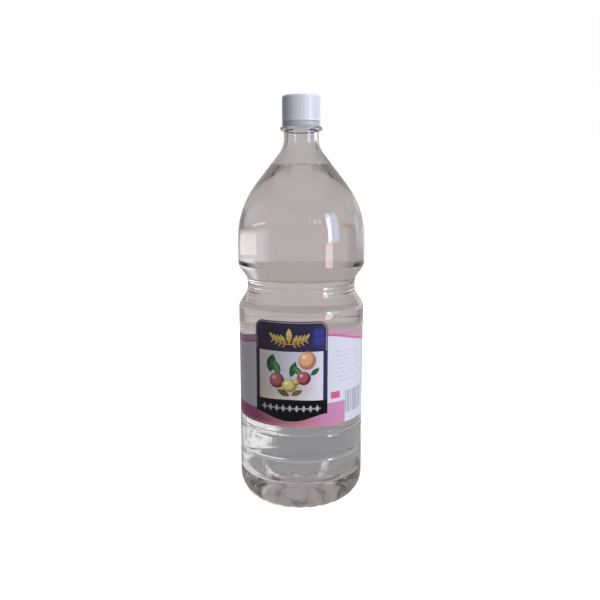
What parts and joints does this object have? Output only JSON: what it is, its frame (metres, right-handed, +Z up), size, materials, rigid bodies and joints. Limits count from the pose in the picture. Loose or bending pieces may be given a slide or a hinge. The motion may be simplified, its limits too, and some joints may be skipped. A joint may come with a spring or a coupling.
{
  "type": "vinegar bottle",
  "caption": "Large clear plastic bottle of white vinegar with a pinched waist, domed shoulder, white screw cap with tamper band, and a wrap label with an arched top edge.",
  "frame": {"origin": "middle of the ring that the bottle stands on", "axes": "+Z up along the bottle's axis, -Y out through the middle of the label's front plaque"},
  "size_m": [0.103, 0.1031, 0.329],
  "materials": {
    "clear_shell": "clear, thin, glossy blown plastic",
    "vinegar": "clear still liquid, very slightly warm",
    "cap": "white moulded plastic, semi-gloss, finely ribbed side",
    "tamper_band": "white moulded plastic, semi-gloss",
    "label": "printed wrap label, satin, pink and white with a dark plaque"
  },
  "bodies": {
    "root": {"bottle": "clear_shell", "vinegar": "vinegar", "cap": "cap", "tamper_band": "tamper_band", "label": "label"}
  },
  "joints": []
}
